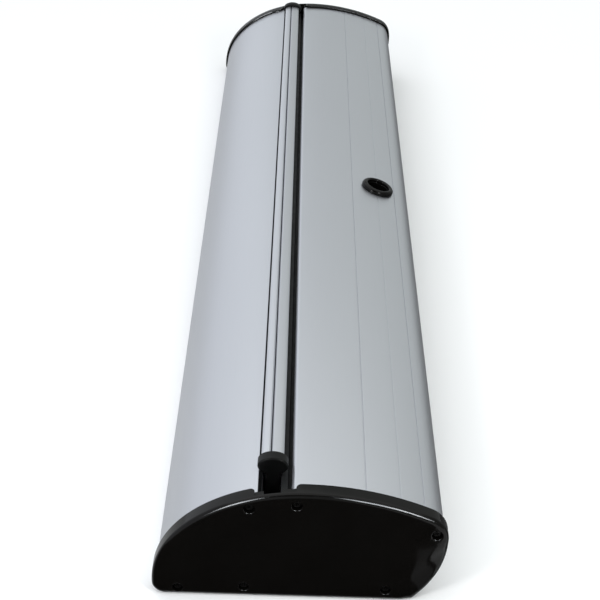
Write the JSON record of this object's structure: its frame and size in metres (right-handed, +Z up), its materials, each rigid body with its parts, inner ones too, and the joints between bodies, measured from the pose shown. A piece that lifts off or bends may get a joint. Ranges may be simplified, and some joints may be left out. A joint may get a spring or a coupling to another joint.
{
  "type": "roll-up banner stand",
  "caption": "Roll-up banner stand: a wide aluminium cassette whose spring-loaded roller pays a banner out through a top slot, with a socket for a support pole.",
  "frame": {"origin": "on the floor, under the middle of the closed cassette", "axes": "+Z up, +Y along the cassette, +X across it from the banner's front towards the pole socket behind the slot"},
  "size_m": [0.185, 0.908, 0.0859],
  "materials": {
    "anodised_aluminium": "satin anodised, fine lengthwise extrusion lines",
    "gloss_black_plastic": "gloss moulded",
    "satin_black_plastic": "satin moulded",
    "dark_grey_plastic": "matt extruded",
    "black_rubber": "matt",
    "banner_film": "matt white film, blank",
    "nylon": "natural moulded",
    "zinc_steel": "zinc plated",
    "black_steel": "black oxide"
  },
  "bodies": {
    "cassette": {"front_shell": "anodised_aluminium", "rear_shell": "anodised_aluminium", "base_plate": "anodised_aluminium", "end_cap_near": "gloss_black_plastic", "end_cap_far": "gloss_black_plastic", "cap_screw_near_1": "black_steel", "cap_screw_near_2": "black_steel", "cap_screw_near_3": "black_steel", "cap_screw_near_4": "black_steel", "cap_screw_near_5": "black_steel", "cap_screw_near_6": "black_steel", "cap_screw_far_1": "black_steel", "cap_screw_far_2": "black_steel", "cap_screw_far_3": "black_steel", "cap_screw_far_4": "black_steel", "cap_screw_far_5": "black_steel", "cap_screw_far_6": "black_steel", "slot_guide_front": "dark_grey_plastic", "slot_guide_rear": "dark_grey_plastic", "roller_bracket_near": "satin_black_plastic", "roller_bracket_far": "satin_black_plastic", "idler_axle": "zinc_steel", "spring_shaft": "zinc_steel", "torsion_spring": "zinc_steel", "spring_collar": "nylon", "pole_socket_ring": "gloss_black_plastic", "pole_socket_tube": "anodised_aluminium", "pole_socket_foot": "satin_black_plastic", "pole_socket_screw_1": "zinc_steel", "pole_socket_screw_2": "zinc_steel", "rubber_foot_1": "black_rubber", "rubber_foot_2": "black_rubber", "rubber_foot_3": "black_rubber", "rubber_foot_4": "black_rubber"},
    "top_rail": {"top_rail_body": "anodised_aluminium", "top_rail_clamp": "anodised_aluminium", "top_rail_grip": "black_rubber", "top_rail_plug_near": "satin_black_plastic", "top_rail_plug_far": "satin_black_plastic", "banner_web": "banner_film"},
    "roller": {"banner_roll": "banner_film", "roller_tube": "anodised_aluminium", "roller_plug_near": "nylon", "roller_plug_far": "nylon", "spring_anchor": "nylon"}
  },
  "joints": [
    {"name": "top_rail_lift", "type": "slide", "parent": "cassette", "child": "top_rail", "axis": [0, 0, 1], "range_m": [0, 2], "deforming": ["banner_web"]},
    {"name": "roller_spin", "type": "hinge", "parent": "cassette", "child": "roller", "pos_m": [0.0057, 0.0086, 0.036], "axis": [0, 1, 0], "range_deg": [0, 5400], "stiffness_Nm_per_rad": 0.0025, "springref_deg": -7161.97}
  ],
  "couplings": [
    {"joint": "roller_spin", "follows": "top_rail_lift", "rad_per_m": 47.1}
  ]
}
